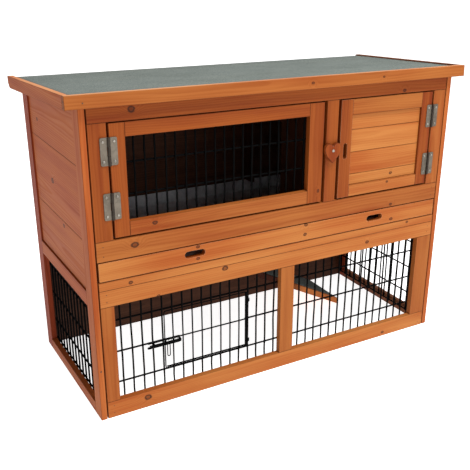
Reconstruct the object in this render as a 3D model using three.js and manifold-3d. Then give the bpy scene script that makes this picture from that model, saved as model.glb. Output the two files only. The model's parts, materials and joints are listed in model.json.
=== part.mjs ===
// A two-storey timber rabbit hutch: a wire-fronted run below, a living compartment and a nest
// compartment above, a full-width pull-out tray between them, and a felted roof hinged at the rear.
// Millimetres. X runs along the hutch, the front faces -Y, and the hutch stands on Z = 0.
// The origin is at the bottom, midway between the roof's four sides.

import * as THREE from "three";
import { mergeVertices } from "three/addons/utils/BufferGeometryUtils.js";
import Module from "manifold-3d";

const wasm = await Module();
wasm.setup();

// Whole body
const BODY_LENGTH = 996; // over the side panels
const BODY_DEPTH = 430; // front face to rear face
const HALF_LENGTH = BODY_LENGTH / 2;
const FRONT_Y = -211; // face of the front frame and of the doors
const REAR_Y = FRONT_Y + BODY_DEPTH;
const GAP = 0.25; // between pieces that touch
const FRAME_SIDE_GAP = 2.5; // between a side panel and the front frame
const SLIDE_GAP = 2.5; // round the doors and the tray

// Thickness of the timber
const PANEL_T = 14; // side panels
const FRAME_T = 15; // front frame and doors
const BOARD_T = 10; // boards inside a frame, rear wall, partition
const SIDE_BOARD_RECESS = 4; // how far the side boards lie behind the face of their frame
const DOOR_BOARD_RECESS = 5; // and the boards of the solid door
const GROOVE = 3; // V groove between boards

// Heights of the front
const BOTTOM_RAIL_TOP = 43;
const LOWER_RAIL_BOTTOM = 285;
const LOWER_RAIL_TOP = 325;
const STRIP_TOP = 345;
const TRAY_FRONT_BOTTOM = 347.5;
const TRAY_FRONT_TOP = 390.5;
const MID_RAIL_BOTTOM = 393;
const MID_RAIL_TOP = 439;
const DOOR_BOTTOM = 443;
const DOOR_TOP = 690.5;
const TOP_RAIL_BOTTOM = 693;

// Heights of the side panels
const SIDE_BOTTOM_RAIL_TOP = 28;
const SIDE_MID_RAIL_BOTTOM = 280;
const SIDE_MID_RAIL_TOP = 315;
const SIDE_STILE_WIDTH = 40;
const SIDE_GROOVES = [433, 597]; // heights of the joints between the side boards
const REAR_GROOVES = [118, 237, 356, 475, 594]; // and between the boards of the rear wall

// Places along X
const INNER_X = HALF_LENGTH - PANEL_T;
const HINGE_X = 439.75; // hinge pins of both doors
const DOOR_GAP = 4.5; // between a hinge stile and its door
const MULLION_X = 120.5; // upper mullion
const MULLION_WIDTH = 34;
const MULLION_GAP = 8; // between the upper mullion and a door
const RUN_OPENING_X = [-450, -16, 24, 432]; // sides of the two lower openings
const PARTITION_X = 104;
const FLOOR_CLEARANCE = 0.5; // over the strip and under the tray
const ROOF_CLEARANCE = 1; // between the partition and the roof

// Mesh door and solid door
const MESH_DOOR = { left: -437.5, right: MULLION_X - MULLION_WIDTH / 2 - MULLION_GAP };
const SOLID_DOOR = { left: MULLION_X + MULLION_WIDTH / 2 + MULLION_GAP, right: 437.5 };
const MESH_OPENING = { left: -403.3, right: 54, bottom: 475.5, top: 660 };
const SOLID_OPENING = { left: 180, right: 403.5, bottom: 472, top: 652 };
const SOLID_GROOVES = [500, 557, 614];
const FINGER_SLOT = { x: 162.5, z: 563, width: 11, height: 40 };

// Welded mesh
const WIRE = 2.5;
const RUN_PITCH = 25.5;
const RUN_COLUMNS = 37;
const RUN_ROWS = [20, 77.5, 158, 238.5, 300];
const SIDE_COLUMNS = 16;
const DOOR_PITCH = 23.875;
const DOOR_COLUMNS = 21;
const DOOR_ROWS = [459.2, 529.8, 600.4, 671];
const WIRE_DOOR_COLUMNS = [5, 14]; // the run mesh's columns beside the wire door
const WIRE_DOOR_ROWS = [1, 3]; // and its rows below and above it

// Tray
const TRAY_FLOOR_Z = 354;
const TRAY_SHEET = 1.5;
const TRAY_WALL_TOP = 388;
const TRAY_REAR_Y = 200;
const TRAY_SLOTS_X = [-251, 272];
const TRAY_SLOT = { z: 370.5, width: 52, height: 17 };

// Opening over the ramp, and its sliding hatch
const RAMP_HOLE = { left: -271, right: -71, front: 19, rear: 181 };
const HATCH_RIM = 12;
const HATCH_TRAVEL = 160;
const FINGER_HOLE = { radius: 13, inset: 35 };
const GUIDE = { clearance: 0.7, width: 4, lip: 5, lipT: 2 }; // the hatch's guides on the tray

// Ramp
const RAMP_PIVOT = { x: -269, z: 338 };
const RAMP_TIP_X = 346;
const RAMP_T = 17;
const RAMP_RISE = 4; // of its top face over the pivot
const RAMP_FOOT_Z = 0.5;
const RAMP_START = 6; // from the pivot to the ramp's upper end
const RAMP_SIDE_GAP = 3; // between the ramp and the opening

// Roof
const ROOF_FRONT_Z = 738; // underside of the roof board over the front face
const ROOF_DROP = 27; // from the front face to the rear face
const ROOF_BOARD_T = 9;
const FELT_T = 2.5;
const FASCIA_T = 13.5;
const FASCIA_DROP = 13; // below the underside of the roof board
const FASCIA_RISE = 15; // above it
const ROOF_HALF_LENGTH = 527;
const ROOF_FRONT_CLEARANCE = 1;
const ROOF_REAR_OVERHANG = 6;
const ROOF_EXTRA_LIFT = 0.2; // of the roof off the body, beyond the usual gap
const FASCIA_CHAMFER = 11;

// Butt hinges
const LEAF = { width: 18.5, height: 59, thickness: 1.6 };
const KNUCKLE_R = 3.2;
const KNUCKLE_STANDOFF = 0.2; // between the knuckle and the face it is screwed to
const PIN_R = 1.4;
const PIN_CLEARANCE = 0.4;
const LEAF_INSET = 0.1; // of a leaf's back from the back of its knuckle
const MESH_DOOR_HINGES = { lower: 485.5, upper: 603.5 }; // heights of the bottoms of the hinges
const SOLID_DOOR_HINGES = { lower: 468.5, upper: 597.5 };
const ROOF_HINGE_LENGTH = 600;
const ROOF_HINGE_DROP = 1; // of its pin below the rear edge of the roof's underside

// Heart-shaped turn-button
const HEART = { z: 571, halfWidth: 24.5, tip: 31, top: 17, notch: 11, thickness: 8, standoff: 0.6 };

// Wire door, its slide bolt, and the lugs that the bolt runs in
const WIRE_DOOR_GAP = 3;
const WIRE_DOOR_WIRE = 4;
const BOLT_R = 2.6;
const BOLT_CLEARANCE = 0.8; // round the bolt in its lugs
const BOLT_STANDOFF = 3; // between the bolt and the border of the wire door
const BOLT_DROP = 3; // of the bolt below the middle of the wire door
const BOLT = { left: -369, right: -285, handleX: -321, handleWidth: 9, handleDrop: 38 };
const DOOR_LUGS_X = [-330, -291]; // left faces of the two lugs on the wire door
const KEEPER_X = -359; // left face of the lug on the run mesh
const LUG_T = 4;
const LUG_HALF = 5.5;
const LUG_SINK = 0.5; // how far a lug runs into the wire behind it
const LATCH_PLATE_T = 2;

const pine = new THREE.MeshStandardMaterial({ color: 0xcf8446, roughness: 0.6 });
const stainedPine = new THREE.MeshStandardMaterial({ color: 0xb0683c, roughness: 0.6 });
const darkPine = new THREE.MeshStandardMaterial({ color: 0x8a4a2c, roughness: 0.7 });
const feltGreen = new THREE.MeshStandardMaterial({ color: 0x828a82, roughness: 0.95 });
const galvanised = new THREE.MeshStandardMaterial({ color: 0x9a9284, roughness: 0.45, metalness: 0.8 });
const blackWire = new THREE.MeshStandardMaterial({ color: 0x18191b, roughness: 0.5, metalness: 0.3 });
const sheetMetal = new THREE.MeshStandardMaterial({ color: 0xb4b6b5, roughness: 0.5, metalness: 0.6 });

const hutch = new THREE.Group();

function addMesh(name, geometry, material, parent = hutch) {
  const mesh = new THREE.Mesh(geometry, material);
  mesh.name = name;
  parent.add(mesh);
  return mesh;
}

function boxGeometry(x0, x1, y0, y1, z0, z1) {
  const geometry = new THREE.BoxGeometry(x1 - x0, y1 - y0, z1 - z0);
  return geometry.translate((x0 + x1) / 2, (y0 + y1) / 2, (z0 + z1) / 2);
}

function polygon(points) {
  return new THREE.Shape(points.map(([u, v]) => new THREE.Vector2(u, v)));
}

function rectanglePoints(u0, u1, v0, v1) {
  return [
    [u0, v0],
    [u1, v0],
    [u1, v1],
    [u0, v1],
  ];
}

function oblongHole(u, v, width, height) {
  const radius = Math.min(width, height) / 2;
  const du = width / 2 - radius;
  const dv = height / 2 - radius;
  const hole = new THREE.Path();
  if (width > height) {
    hole.absarc(u + du, v, radius, -Math.PI / 2, Math.PI / 2);
    hole.absarc(u - du, v, radius, Math.PI / 2, (3 * Math.PI) / 2);
  } else {
    hole.absarc(u, v + dv, radius, 0, Math.PI);
    hole.absarc(u, v - dv, radius, Math.PI, 2 * Math.PI);
  }
  hole.closePath();
  return hole;
}

function extrude(shape, depth, curveSegments = 6) {
  return new THREE.ExtrudeGeometry(shape, { depth, bevelEnabled: false, curveSegments });
}

const AXIS = {
  x: new THREE.Vector3(1, 0, 0),
  y: new THREE.Vector3(0, 1, 0),
  z: new THREE.Vector3(0, 0, 1),
  minusY: new THREE.Vector3(0, -1, 0),
};

// A shape drawn in (y, z), extruded from x0 to x1.
function extrudeAlongX(shape, x0, x1, curveSegments) {
  const turn = new THREE.Matrix4().makeBasis(AXIS.y, AXIS.z, AXIS.x);
  return extrude(shape, x1 - x0, curveSegments).applyMatrix4(turn).translate(x0, 0, 0);
}

// A shape drawn in (x, z), extruded from y0 to y1.
function extrudeAlongY(shape, y0, y1, curveSegments) {
  const turn = new THREE.Matrix4().makeBasis(AXIS.x, AXIS.z, AXIS.minusY);
  return extrude(shape, y1 - y0, curveSegments).applyMatrix4(turn).translate(0, y1, 0);
}

// A shape drawn in (x, y), extruded from z0 to z1.
function extrudeAlongZ(shape, z0, z1, curveSegments) {
  return extrude(shape, z1 - z0, curveSegments).translate(0, 0, z0);
}

function solid(geometry) {
  const bare = geometry.clone();
  bare.deleteAttribute("normal");
  bare.deleteAttribute("uv");
  const merged = mergeVertices(bare, 1e-3);
  return new wasm.Manifold(
    new wasm.Mesh({
      numProp: 3,
      vertProperties: merged.attributes.position.array,
      triVerts: new Uint32Array(merged.index.array),
    }),
  );
}

function surface(manifold) {
  const made = manifold.getMesh();
  const geometry = new THREE.BufferGeometry();
  geometry.setAttribute("position", new THREE.BufferAttribute(made.vertProperties, made.numProp));
  geometry.setIndex(new THREE.BufferAttribute(made.triVerts, 1));
  const flat = geometry.toNonIndexed();
  flat.computeVertexNormals();
  return flat;
}

function joined(geometries) {
  return surface(geometries.map(solid).reduce((whole, next) => whole.add(next)));
}

function cutAway(geometry, tools) {
  return surface(tools.map(solid).reduce((whole, tool) => whole.subtract(tool), solid(geometry)));
}

// Underside of the roof board over a place y of the body.
function roofUnderside(y) {
  return ROOF_FRONT_Z - (ROOF_DROP * (y - FRONT_Y)) / BODY_DEPTH;
}

// A board from y0 to y1 whose top end follows the roof.
function slopedBoard(x0, x1, y0, y1, z0) {
  const outline = [
    [y0, z0],
    [y1, z0],
    [y1, roofUnderside(y1) - GAP],
    [y0, roofUnderside(y0) - GAP],
  ];
  return extrudeAlongX(polygon(outline), x0, x1);
}

// The outline of boards laid edge to edge, with a V groove in the face at each joint.
// face is the grooved face, back the plain one, along the first coordinate.
function boardOutline(face, back, bottom, top, joints) {
  const inward = Math.sign(back - face);
  const outline = [[face, bottom]];
  for (const joint of joints) {
    outline.push([face, joint - GROOVE]);
    outline.push([face + inward * GROOVE, joint]);
    outline.push([face, joint + GROOVE]);
  }
  outline.push([face, top], [back, top], [back, bottom]);
  return outline;
}

// The wires of a welded mesh as rectangles in two coordinates: one wire at each u in columns
// and one at each v in rows. Inside a door hole, given by column and row numbers, there are none.
function meshWires(columns, rows, door) {
  const half = WIRE / 2;
  const spans = (index, own, across, ends) => {
    const cut = door && index > own[0] && index < own[1];
    return cut ? [[ends[0], ends[across[0]]], [ends[across[1]], ends.at(-1)]] : [[ends[0], ends.at(-1)]];
  };
  const wires = [];
  columns.forEach((u, index) => {
    for (const [v0, v1] of spans(index, door?.columns, door?.rows, rows)) {
      wires.push([u - half, u + half, v0 - half, v1 + half]);
    }
  });
  rows.forEach((v, index) => {
    for (const [u0, u1] of spans(index, door?.rows, door?.columns, columns)) {
      wires.push([u0 - half, u1 + half, v - half, v + half]);
    }
  });
  return wires;
}

// Wires given in (x, z), welded into one sheet from y0 to y1.
function frontMesh(wires, y0, y1) {
  return joined(wires.map(([x0, x1, z0, z1]) => boxGeometry(x0, x1, y0, y1, z0, z1)));
}

// Wires given in (y, z), welded into one sheet from x0 to x1.
function sideMesh(wires, x0, x1) {
  return joined(wires.map(([y0, y1, z0, z1]) => boxGeometry(x0, x1, y0, y1, z0, z1)));
}

function evenly(first, pitch, count) {
  return Array.from({ length: count }, (_, i) => first + i * pitch);
}

// ---- side panels ----

function addSidePanel(side, sign) {
  const outer = sign * HALF_LENGTH;
  const inner = sign * INNER_X;
  const x0 = Math.min(outer, inner);
  const x1 = Math.max(outer, inner);
  const frontInner = FRONT_Y + SIDE_STILE_WIDTH;
  const rearInner = REAR_Y - SIDE_STILE_WIDTH;
  const railFront = frontInner + GAP;
  const railRear = rearInner - GAP;
  addMesh(`side_${side}_front_stile`, slopedBoard(x0, x1, FRONT_Y, frontInner, 0), pine);
  addMesh(`side_${side}_rear_stile`, slopedBoard(x0, x1, rearInner, REAR_Y, 0), stainedPine);
  addMesh(
    `side_${side}_bottom_rail`,
    boxGeometry(x0, x1, railFront, railRear, 0, SIDE_BOTTOM_RAIL_TOP),
    stainedPine,
  );
  addMesh(
    `side_${side}_mid_rail`,
    boxGeometry(x0, x1, railFront, railRear, SIDE_MID_RAIL_BOTTOM, SIDE_MID_RAIL_TOP),
    stainedPine,
  );

  const face = outer - sign * SIDE_BOARD_RECESS;
  const back = face - sign * BOARD_T;
  const boards = polygon(
    boardOutline(face, back, SIDE_MID_RAIL_TOP + GAP, ROOF_FRONT_Z, SIDE_GROOVES),
  );
  const roofWedge = polygon([
    [FRONT_Y, roofUnderside(FRONT_Y) - GAP],
    [REAR_Y, roofUnderside(REAR_Y) - GAP],
    [REAR_Y, ROOF_FRONT_Z + PANEL_T],
    [FRONT_Y, ROOF_FRONT_Z + PANEL_T],
  ]);
  addMesh(
    `side_${side}_boards`,
    cutAway(extrudeAlongY(boards, railFront, railRear), [
      extrudeAlongX(roofWedge, x0 - PANEL_T, x1 + PANEL_T),
    ]),
    stainedPine,
  );

  const meshX = inner - sign * (GAP + WIRE);
  const meshSpan = RUN_PITCH * (SIDE_COLUMNS - 1);
  const columns = evenly((FRONT_Y + REAR_Y - meshSpan) / 2, RUN_PITCH, SIDE_COLUMNS);
  addMesh(
    `side_${side}_mesh`,
    sideMesh(
      meshWires(columns, RUN_ROWS),
      Math.min(meshX, meshX + sign * WIRE),
      Math.max(meshX, meshX + sign * WIRE),
    ),
    blackWire,
  );
}

addSidePanel("left", -1);
addSidePanel("right", 1);

// ---- front frame ----

const railX = INNER_X - FRAME_SIDE_GAP;
const panelX = INNER_X - GAP;
const frameBack = FRONT_Y + FRAME_T;

function addFrameBoard(name, x0, x1, z0, z1) {
  addMesh(name, boxGeometry(x0, x1, FRONT_Y, frameBack, z0, z1), pine);
}

addFrameBoard("front_bottom_rail", -railX, railX, 0, BOTTOM_RAIL_TOP);
addFrameBoard("front_lower_rail", -railX, railX, LOWER_RAIL_BOTTOM, LOWER_RAIL_TOP);
addFrameBoard("floor_front_strip", -railX, railX, LOWER_RAIL_TOP + GAP, STRIP_TOP);
addFrameBoard("front_mid_rail", -railX, railX, MID_RAIL_BOTTOM, MID_RAIL_TOP);
addFrameBoard("front_top_rail", -railX, railX, TOP_RAIL_BOTTOM, roofUnderside(frameBack) - GAP);

const runBottom = BOTTOM_RAIL_TOP + GAP;
const runTop = LOWER_RAIL_BOTTOM - GAP;
addFrameBoard("run_stile_left", -railX, RUN_OPENING_X[0], runBottom, runTop);
addFrameBoard("run_mullion", RUN_OPENING_X[1], RUN_OPENING_X[2], runBottom, runTop);
addFrameBoard("run_stile_right", RUN_OPENING_X[3], railX, runBottom, runTop);

const upperBottom = MID_RAIL_TOP + GAP;
const upperTop = TOP_RAIL_BOTTOM - GAP;
const stileInner = HINGE_X + DOOR_GAP / 2;
addFrameBoard("hinge_stile_left", -railX, -stileInner, upperBottom, upperTop);
addFrameBoard("hinge_stile_right", stileInner, railX, upperBottom, upperTop);
addFrameBoard(
  "upper_mullion",
  MULLION_X - MULLION_WIDTH / 2,
  MULLION_X + MULLION_WIDTH / 2,
  upperBottom,
  upperTop,
);

const runColumns = evenly((-RUN_PITCH * (RUN_COLUMNS - 1)) / 2, RUN_PITCH, RUN_COLUMNS);
const runMeshFront = frameBack + GAP;
const meshMid = runMeshFront + WIRE / 2;
const wireDoor = {
  left: runColumns[WIRE_DOOR_COLUMNS[0]] + WIRE_DOOR_GAP,
  right: runColumns[WIRE_DOOR_COLUMNS[1]] - WIRE_DOOR_GAP,
  bottom: RUN_ROWS[WIRE_DOOR_ROWS[0]] + WIRE_DOOR_GAP,
  top: RUN_ROWS[WIRE_DOOR_ROWS[1]] - WIRE_DOOR_GAP,
  front: meshMid - WIRE_DOOR_WIRE / 2,
};
const boltY = wireDoor.front - BOLT_STANDOFF - BOLT_R;
const boltZ = (wireDoor.bottom + wireDoor.top) / 2 - BOLT_DROP;

// A lug for the slide bolt, from its front to the wire behind it at y.
function boltLug(x, y) {
  const outline = polygon(rectanglePoints(boltY - LUG_HALF, y, boltZ - LUG_HALF, boltZ + LUG_HALF));
  const bore = new THREE.Path();
  bore.absarc(boltY, boltZ, BOLT_R + BOLT_CLEARANCE, 0, 2 * Math.PI);
  outline.holes.push(bore);
  return extrudeAlongX(outline, x, x + LUG_T, 3);
}

addMesh(
  "run_mesh",
  joined([
    frontMesh(
      meshWires(runColumns, RUN_ROWS, { columns: WIRE_DOOR_COLUMNS, rows: WIRE_DOOR_ROWS }),
      runMeshFront,
      runMeshFront + WIRE,
    ),
    boltLug(KEEPER_X, meshMid),
  ]),
  blackWire,
);

// ---- rear wall, floor and partition ----

const wallFront = REAR_Y - BOARD_T;
const rearWallOutline = boardOutline(wallFront, REAR_Y, 0, roofUnderside(REAR_Y) - GAP, REAR_GROOVES);
addMesh("rear_wall", extrudeAlongX(polygon(rearWallOutline), -panelX, panelX), darkPine);

function rampHole(margin) {
  return polygon(
    rectanglePoints(
      RAMP_HOLE.left - margin,
      RAMP_HOLE.right + margin,
      RAMP_HOLE.front - margin,
      RAMP_HOLE.rear + margin,
    ),
  );
}

const floorOutline = polygon(rectanglePoints(-panelX, panelX, frameBack + GAP, wallFront - GAP));
floorOutline.holes.push(rampHole(0));
addMesh(
  "upper_floor",
  extrudeAlongZ(floorOutline, STRIP_TOP + FLOOR_CLEARANCE, TRAY_FLOOR_Z - FLOOR_CLEARANCE),
  darkPine,
);

const DOORWAY = { front: -6, rear: 150, top: 600 };
const partitionBottom = MID_RAIL_BOTTOM;
const partitionOutline = polygon([
  [frameBack + GAP, partitionBottom],
  [DOORWAY.front, partitionBottom],
  [DOORWAY.front, DOORWAY.top],
  [DOORWAY.rear, DOORWAY.top],
  [DOORWAY.rear, partitionBottom],
  [wallFront - GAP, partitionBottom],
  [wallFront - GAP, roofUnderside(wallFront) - ROOF_CLEARANCE],
  [frameBack + GAP, roofUnderside(frameBack) - ROOF_CLEARANCE],
]);
addMesh(
  "partition",
  extrudeAlongX(partitionOutline, PARTITION_X, PARTITION_X + BOARD_T),
  darkPine,
);

// ---- ramp ----

const rampAngle = Math.atan2(RAMP_PIVOT.z - RAMP_FOOT_Z - RAMP_T + RAMP_RISE, RAMP_TIP_X - RAMP_PIVOT.x);
const rampEndHeight = RAMP_T / Math.cos(rampAngle);

// A point of the ramp's side, from its pivot: along down the slope and out from it.
function rampPoint(along, out) {
  return [
    RAMP_PIVOT.x + along * Math.cos(rampAngle) + out * Math.sin(rampAngle),
    RAMP_PIVOT.z - along * Math.sin(rampAngle) + out * Math.cos(rampAngle),
  ];
}

const rampBottomLine = rampPoint(0, RAMP_RISE - RAMP_T);
const rampFootX = rampBottomLine[0] + (rampBottomLine[1] - RAMP_FOOT_Z) / Math.tan(rampAngle);
const rampOutline = polygon([
  rampPoint(RAMP_START, RAMP_RISE - RAMP_T),
  [rampFootX, RAMP_FOOT_Z],
  [rampFootX, RAMP_FOOT_Z + rampEndHeight],
  rampPoint(RAMP_START, RAMP_RISE),
]);
addMesh(
  "ramp",
  extrudeAlongY(rampOutline, RAMP_HOLE.front + RAMP_SIDE_GAP, RAMP_HOLE.rear - RAMP_SIDE_GAP),
  pine,
);

// ---- tray and hatch ----

const trayX = railX - SLIDE_GAP;
const trayFrontOutline = polygon(
  rectanglePoints(-trayX, trayX, TRAY_FRONT_BOTTOM, TRAY_FRONT_TOP),
);
for (const x of TRAY_SLOTS_X) {
  trayFrontOutline.holes.push(oblongHole(x, TRAY_SLOT.z, TRAY_SLOT.width, TRAY_SLOT.height));
}
addMesh("tray_front", extrudeAlongY(trayFrontOutline, FRONT_Y, frameBack), pine);

const panFront = frameBack + GAP;
const panX = trayX - SLIDE_GAP;
const trayFloorTop = TRAY_FLOOR_Z + TRAY_SHEET;
const panFloorOutline = polygon(rectanglePoints(-panX, panX, panFront, TRAY_REAR_Y));
panFloorOutline.holes.push(rampHole(0));
const hatchZ = trayFloorTop + GAP;
const hatchTop = hatchZ + TRAY_SHEET;
const hatchX = [RAMP_HOLE.left - HATCH_RIM, RAMP_HOLE.right + HATCH_RIM];
const hatchY = [RAMP_HOLE.front - HATCH_RIM, RAMP_HOLE.rear + HATCH_RIM / 2];
const guideY = [hatchY[0] - HATCH_TRAVEL, hatchY[1]];

// A guide for one edge of the hatch: an upright beside it, and a lip over it.
function hatchGuide(edge, outward) {
  const beside = edge + outward * GUIDE.clearance;
  const far = edge + outward * GUIDE.width;
  const over = edge - outward * GUIDE.lip;
  const lipZ = hatchTop + GUIDE.clearance;
  const lipTop = lipZ + GUIDE.lipT;
  const span = (a, b) => [Math.min(a, b), Math.max(a, b)];
  return [
    boxGeometry(...span(beside, far), ...guideY, TRAY_FLOOR_Z + TRAY_SHEET / 2, lipTop),
    boxGeometry(...span(over, far), ...guideY, lipZ, lipTop),
  ];
}

addMesh(
  "tray_pan",
  joined([
    extrudeAlongZ(panFloorOutline, TRAY_FLOOR_Z, trayFloorTop),
    boxGeometry(-panX, TRAY_SHEET - panX, panFront, TRAY_REAR_Y, TRAY_FLOOR_Z, TRAY_WALL_TOP),
    boxGeometry(panX - TRAY_SHEET, panX, panFront, TRAY_REAR_Y, TRAY_FLOOR_Z, TRAY_WALL_TOP),
    boxGeometry(-panX, panX, TRAY_REAR_Y - TRAY_SHEET, TRAY_REAR_Y, TRAY_FLOOR_Z, TRAY_WALL_TOP),
    ...hatchGuide(hatchX[0], -1),
    ...hatchGuide(hatchX[1], 1),
  ]),
  sheetMetal,
);

const hatchOutline = polygon(rectanglePoints(...hatchX, ...hatchY));
const fingerHole = new THREE.Path();
fingerHole.absarc(
  (hatchX[0] + hatchX[1]) / 2,
  hatchY[0] + FINGER_HOLE.inset,
  FINGER_HOLE.radius,
  0,
  2 * Math.PI,
);
hatchOutline.holes.push(fingerHole);
addMesh("tray_hatch", extrudeAlongZ(hatchOutline, hatchZ, hatchTop), sheetMetal);

// ---- doors ----

function addDoorFrame(name, door, opening, hingeSide) {
  const hingeIsLeft = hingeSide === "left";
  const names = hingeIsLeft ? ["hinge_stile", "lock_stile"] : ["lock_stile", "hinge_stile"];
  const leftStile = polygon(rectanglePoints(door.left, opening.left, DOOR_BOTTOM, DOOR_TOP));
  if (!hingeIsLeft) {
    leftStile.holes.push(oblongHole(FINGER_SLOT.x, FINGER_SLOT.z, FINGER_SLOT.width, FINGER_SLOT.height));
  }
  addMesh(`${name}_${names[0]}`, extrudeAlongY(leftStile, FRONT_Y, frameBack), pine);
  addFrameBoard(`${name}_${names[1]}`, opening.right, door.right, DOOR_BOTTOM, DOOR_TOP);
  const x0 = opening.left + GAP;
  const x1 = opening.right - GAP;
  addFrameBoard(`${name}_bottom_rail`, x0, x1, DOOR_BOTTOM, opening.bottom);
  addFrameBoard(`${name}_top_rail`, x0, x1, opening.top, DOOR_TOP);
}

addDoorFrame("mesh_door", MESH_DOOR, MESH_OPENING, "left");
addDoorFrame("solid_door", SOLID_DOOR, SOLID_OPENING, "right");

const doorColumns = evenly(-403.75, DOOR_PITCH, DOOR_COLUMNS);
addMesh(
  "mesh_door_mesh",
  frontMesh(meshWires(doorColumns, DOOR_ROWS), runMeshFront, runMeshFront + WIRE),
  blackWire,
);

const boardFace = FRONT_Y + DOOR_BOARD_RECESS;
const solidBoards = boardOutline(
  boardFace,
  boardFace + BOARD_T,
  SOLID_OPENING.bottom + GAP,
  SOLID_OPENING.top - GAP,
  SOLID_GROOVES,
);
addMesh(
  "solid_door_boards",
  extrudeAlongX(polygon(solidBoards), SOLID_OPENING.left + GAP, SOLID_OPENING.right - GAP),
  pine,
);

// ---- butt hinges ----

// One round segment of a hinge's knuckle, along Z. A bore of zero makes it solid.
function knuckle(radius, bore, z0, z1) {
  const round = new THREE.Shape();
  round.absarc(0, 0, radius, 0, 2 * Math.PI);
  if (bore > 0) {
    const hole = new THREE.Path();
    hole.absarc(0, 0, bore, 0, 2 * Math.PI);
    round.holes.push(hole);
  }
  return extrudeAlongZ(round, z0, z1);
}

// A leaf whose pin lies on the Z axis, with its plate on the side of X given by outward.
// segments lists where along Z this leaf holds the knuckle, and bore is 0 on the leaf with the pin.
function hingeLeaf(outward, width, height, segments, bore) {
  const clear = KNUCKLE_R + 2 * PIN_CLEARANCE;
  const plateBack = KNUCKLE_R - LEAF_INSET;
  const plateY = [plateBack - LEAF.thickness, plateBack];
  const plate = (u0, u1, z0, z1) => {
    const a = outward * u0;
    const b = outward * u1;
    return boxGeometry(Math.min(a, b), Math.max(a, b), ...plateY, z0, z1);
  };
  const pieces = [plate(clear, width, 0, height)];
  for (const [z0, z1] of segments) {
    pieces.push(knuckle(KNUCKLE_R, bore, z0, z1));
    pieces.push(plate(bore > 0 ? bore + PIN_CLEARANCE : 0, clear + 1, z0, z1));
  }
  if (bore === 0) pieces.push(knuckle(PIN_R, 0, 0, height));
  return joined(pieces);
}

function addDoorHinge(name, sign, z) {
  const third = LEAF.height / 3;
  const outerSegments = [
    [0, third - PIN_CLEARANCE],
    [2 * third + PIN_CLEARANCE, LEAF.height],
  ];
  const middleSegment = [[third, 2 * third]];
  const place = new THREE.Vector3(sign * HINGE_X, FRONT_Y - KNUCKLE_R - KNUCKLE_STANDOFF, z);
  const fixed = hingeLeaf(sign, LEAF.width, LEAF.height, outerSegments, 0);
  const moving = hingeLeaf(-sign, LEAF.width, LEAF.height, middleSegment, PIN_R + PIN_CLEARANCE);
  addMesh(`${name}_fixed_leaf`, fixed, galvanised).position.copy(place);
  addMesh(`${name}_moving_leaf`, moving, galvanised).position.copy(place);
}

for (const level of ["lower", "upper"]) {
  addDoorHinge(`mesh_door_hinge_${level}`, -1, MESH_DOOR_HINGES[level]);
  addDoorHinge(`solid_door_hinge_${level}`, 1, SOLID_DOOR_HINGES[level]);
}

// ---- heart turn-button ----

function heartShape() {
  const { halfWidth, tip, top, notch } = HEART;
  const heart = new THREE.Shape();
  heart.moveTo(0, -tip);
  heart.bezierCurveTo(halfWidth * 0.5, -tip * 0.62, halfWidth, -tip * 0.3, halfWidth, top * 0.3);
  heart.bezierCurveTo(halfWidth, top * 1.2, halfWidth * 0.25, top * 1.35, 0, notch);
  heart.bezierCurveTo(-halfWidth * 0.25, top * 1.35, -halfWidth, top * 1.2, -halfWidth, top * 0.3);
  heart.bezierCurveTo(-halfWidth, -tip * 0.3, -halfWidth * 0.5, -tip * 0.62, 0, -tip);
  return heart;
}

const heartGeometry = extrudeAlongY(heartShape(), -HEART.thickness, 0, 7);
addMesh("heart_turn_button", heartGeometry, pine).position.set(
  MULLION_X,
  FRONT_Y - HEART.standoff,
  HEART.z,
);

// ---- wire door and slide bolt ----

// The wire door's own wires: a thicker border, and the run mesh's columns and row carried across.
function wireDoorWires() {
  const { left, right, bottom, top } = wireDoor;
  const half = WIRE / 2;
  const middle = (bottom + top) / 2;
  const columns = runColumns.slice(WIRE_DOOR_COLUMNS[0] + 1, WIRE_DOOR_COLUMNS[1]);
  return {
    border: [
      [left, left + WIRE_DOOR_WIRE, bottom, top],
      [right - WIRE_DOOR_WIRE, right, bottom, top],
      [left, right, bottom, bottom + WIRE_DOOR_WIRE],
      [left, right, top - WIRE_DOOR_WIRE, top],
    ],
    filling: [
      ...columns.map((x) => [x - half, x + half, bottom + half, top - half]),
      [left + half, right - half, middle - half, middle + half],
    ],
  };
}

const lugBack = wireDoor.front + LUG_SINK;
const latchPlate = boxGeometry(
  DOOR_LUGS_X[0],
  DOOR_LUGS_X[1] + LUG_T,
  wireDoor.front - LATCH_PLATE_T / 2,
  wireDoor.front + LATCH_PLATE_T / 2,
  boltZ - LUG_HALF,
  boltZ + LUG_HALF,
);
const doorWires = wireDoorWires();
addMesh(
  "wire_door",
  joined([
    frontMesh(doorWires.border, wireDoor.front, wireDoor.front + WIRE_DOOR_WIRE),
    frontMesh(doorWires.filling, meshMid - WIRE / 2, meshMid + WIRE / 2),
    latchPlate,
    ...DOOR_LUGS_X.map((x) => boltLug(x, lugBack)),
  ]),
  blackWire,
);

function boltGeometry() {
  const section = new THREE.Shape();
  section.absarc(boltY, boltZ, BOLT_R, 0, 2 * Math.PI);
  const handleX = [BOLT.handleX - BOLT.handleWidth / 2, BOLT.handleX + BOLT.handleWidth / 2];
  const handleY = [boltY - WIRE / 2, boltY + WIRE / 2];
  return joined([
    extrudeAlongX(section, BOLT.left, BOLT.right, 3),
    boxGeometry(...handleX, ...handleY, boltZ - BOLT.handleDrop, boltZ),
  ]);
}

addMesh("latch_bolt", boltGeometry(), blackWire);

// ---- roof ----

const hingeOffset = KNUCKLE_R + KNUCKLE_STANDOFF;
const roofHinge = { y: REAR_Y + hingeOffset, z: roofUnderside(REAR_Y) - ROOF_HINGE_DROP };
const roofSlope = Math.atan2(ROOF_DROP, BODY_DEPTH);
const roof = new THREE.Group();
roof.position.set(0, roofHinge.y, roofHinge.z);
roof.rotation.x = -roofSlope;
hutch.add(roof);

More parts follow.
